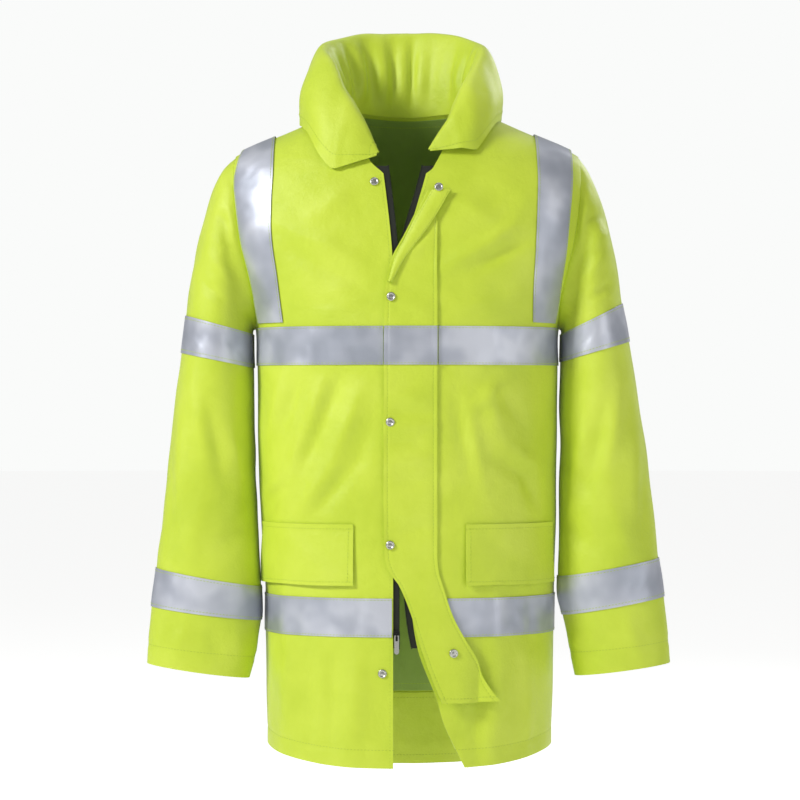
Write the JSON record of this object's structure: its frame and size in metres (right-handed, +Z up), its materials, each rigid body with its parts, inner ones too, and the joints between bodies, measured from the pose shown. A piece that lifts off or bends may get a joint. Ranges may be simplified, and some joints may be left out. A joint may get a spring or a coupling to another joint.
{
  "type": "hi-vis work jacket",
  "caption": "Worn-shape hi-vis work jacket with stand-and-fall collar, storm flap with press studs, pocket flaps and reflective tape on body, shoulders and sleeves.",
  "frame": {"origin": "centre of the neck opening at the height of the shoulders' neck points", "axes": "+Z up along the wearer's neck, -Y out of the jacket's front, +X to the viewer's right, the wearer's left"},
  "size_m": [0.684, 0.307, 0.9961],
  "materials": {
    "yellow_cloth": "coated hi-vis yellow polyester, soft sheen",
    "reflective_tape": "glass-bead retroreflective tape, silver grey",
    "lining": "thin woven polyester lining, dull",
    "zip_tape": "black woven zip tape",
    "zip_slider": "black enamelled slider",
    "stud_steel": "nickel-plated press stud"
  },
  "bodies": {
    "jacket": {"back_lining": "lining", "back_panel": "yellow_cloth", "brace_back_left": "reflective_tape", "brace_back_right": "reflective_tape", "brace_front_left": "reflective_tape", "brace_front_right": "reflective_tape", "chest_band_back": "reflective_tape", "chest_band_flap": "reflective_tape", "chest_band_left": "reflective_tape", "chest_band_right": "reflective_tape", "collar": "yellow_cloth", "front_left": "yellow_cloth", "front_right": "yellow_cloth", "hem_band_back": "reflective_tape", "hem_band_left": "reflective_tape", "hem_band_right": "reflective_tape", "hem_facing": "yellow_cloth", "pocket_flap_left": "yellow_cloth", "pocket_flap_right": "yellow_cloth", "sleeve_band_lower_left": "reflective_tape", "sleeve_band_lower_right": "reflective_tape", "sleeve_band_upper_left": "reflective_tape", "sleeve_band_upper_right": "reflective_tape", "sleeve_left": "yellow_cloth", "sleeve_right": "yellow_cloth", "storm_flap": "yellow_cloth", "storm_flap_turned_top": "yellow_cloth", "stud_flap_1": "stud_steel", "stud_flap_2": "stud_steel", "stud_flap_3": "stud_steel", "stud_flap_bottom": "stud_steel", "stud_flap_top": "stud_steel", "stud_front_bottom": "stud_steel", "stud_front_top": "stud_steel", "zip_slider": "zip_slider", "zip_tape_left": "zip_tape", "zip_tape_right": "zip_tape"},
    "zip_pull": {"zip_pull": "stud_steel"}
  },
  "joints": [
    {"name": "pull_swing", "type": "hinge", "parent": "jacket", "child": "zip_pull", "pos_m": [-0.0135, -0.14513, -0.684], "axis": [-1, 0, 0], "range_deg": [0, 160]}
  ]
}
